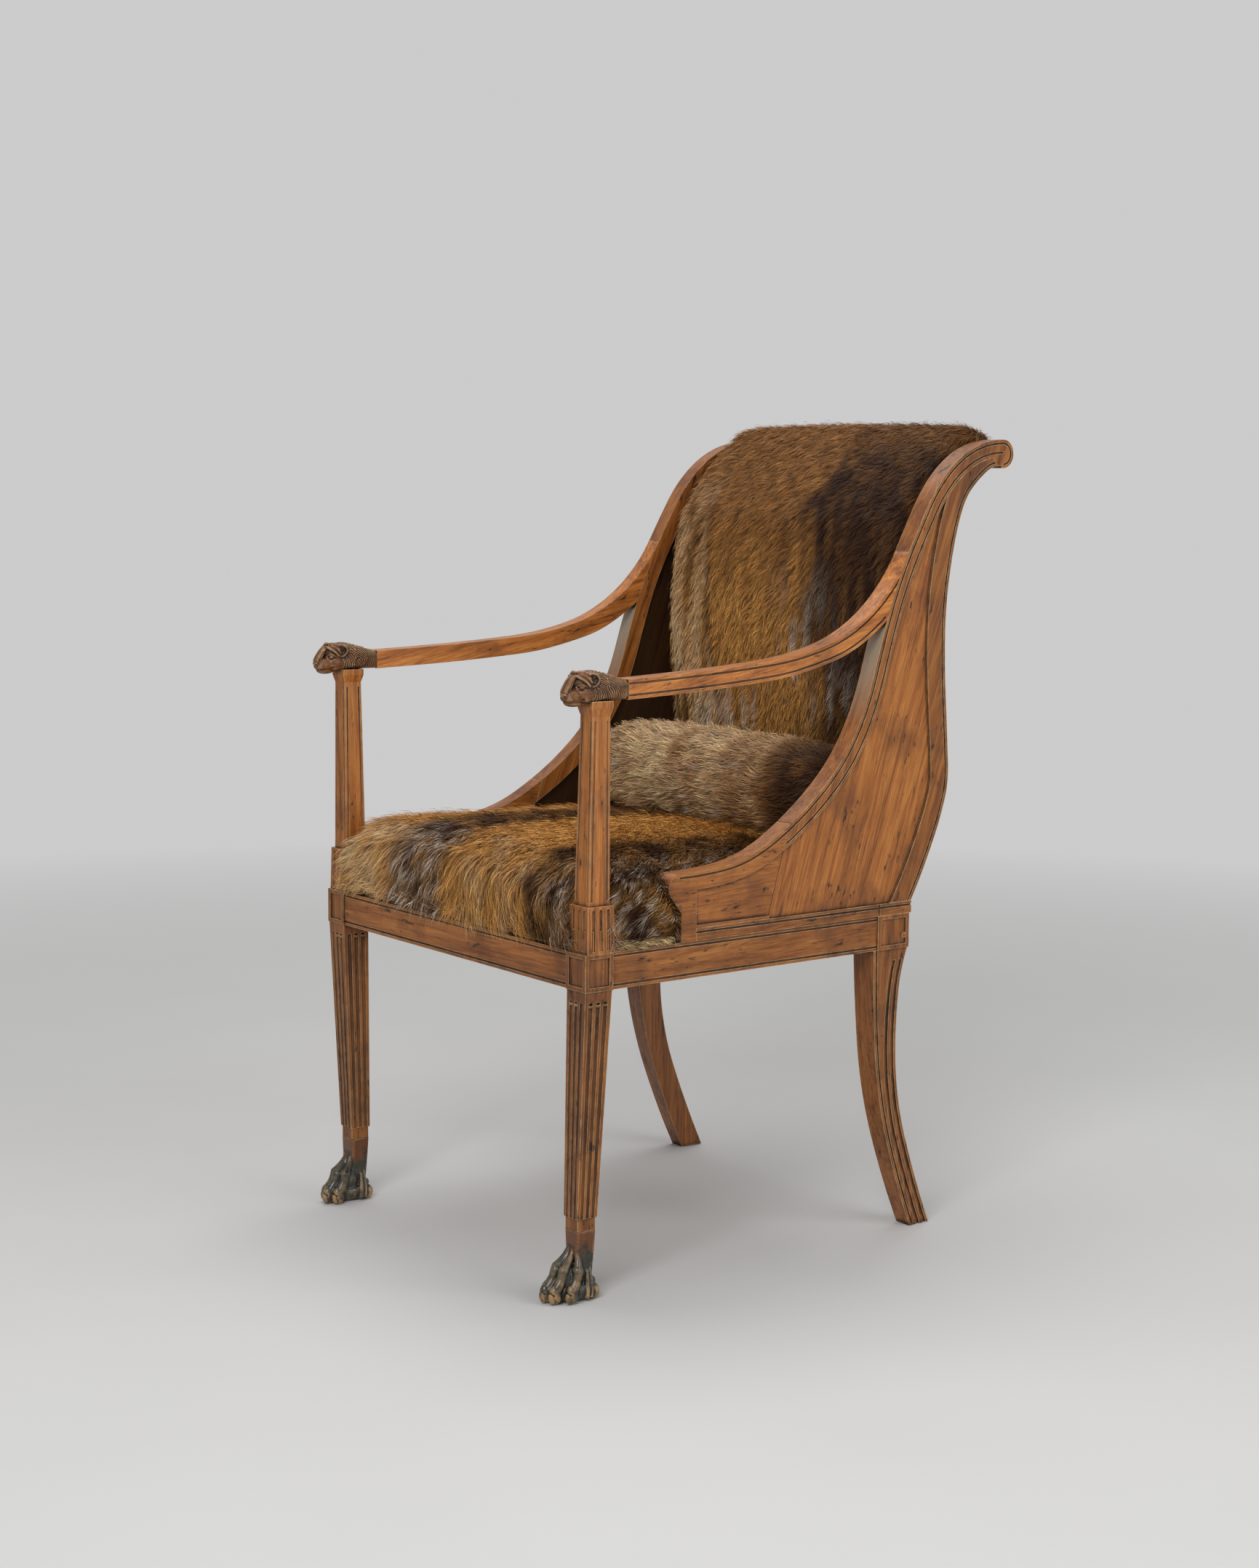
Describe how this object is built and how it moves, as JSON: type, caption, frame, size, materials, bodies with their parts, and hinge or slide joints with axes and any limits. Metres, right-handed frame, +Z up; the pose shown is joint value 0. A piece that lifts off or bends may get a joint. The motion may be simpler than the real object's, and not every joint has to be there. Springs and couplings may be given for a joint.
{
  "type": "fauteuil",
  "caption": "Open armchair with scrolled side frames, carved lion-head arm ends, fluted tapered legs on paw feet, a fur-covered seat and back, and a loose lumbar cushion.",
  "frame": {"origin": "on the floor, under the middle of the chair's width and length", "axes": "+Z up, -Y the way the sitter faces, +X to the sitter's left"},
  "size_m": [0.5498, 0.6627, 0.9366],
  "materials": {
    "walnut": "worn waxed",
    "paw_patina": "worn dark green patina",
    "beech": "raw",
    "jute_webbing": "coarse weave",
    "hessian": "plain weave",
    "fur_dark": "long golden-brown pile",
    "fur_pale": "long beige pile"
  },
  "bodies": {
    "frame": {"arm_dowels": "beech", "arm_left": "walnut", "arm_post_left": "walnut", "arm_post_right": "walnut", "arm_right": "walnut", "back_base_cloth": "hessian", "back_pad": "fur_dark", "back_webbing": "jute_webbing", "corner_blocks": "beech", "crest_rail": "beech", "foot_dowels": "beech", "front_leg_left": "walnut", "front_leg_right": "walnut", "front_stile_left": "walnut", "front_stile_right": "walnut", "lion_head_left": "walnut", "lion_head_right": "walnut", "lower_back_rail": "beech", "nose_board_left": "walnut", "nose_board_right": "walnut", "outside_back_cover": "hessian", "paw_foot_left": "paw_patina", "paw_foot_right": "paw_patina", "rear_block_pegs": "beech", "rear_leg_left": "walnut", "rear_leg_right": "walnut", "rear_stile_left": "walnut", "rear_stile_right": "walnut", "seat_base_cloth": "hessian", "seat_pad": "fur_dark", "seat_rail_back": "beech", "seat_rail_front": "walnut", "seat_rail_left": "walnut", "seat_rail_right": "walnut", "seat_webbing": "jute_webbing", "side_panel_left": "walnut", "side_panel_right": "walnut", "side_shoe_left": "walnut", "side_shoe_right": "walnut"},
    "cushion": {"lumbar_cushion": "fur_pale"}
  },
  "joints": [
    {"name": "cushion_lift", "type": "slide", "parent": "frame", "child": "cushion", "axis": [0, -0.5, 0.866], "range_m": [0, 0.36]}
  ]
}
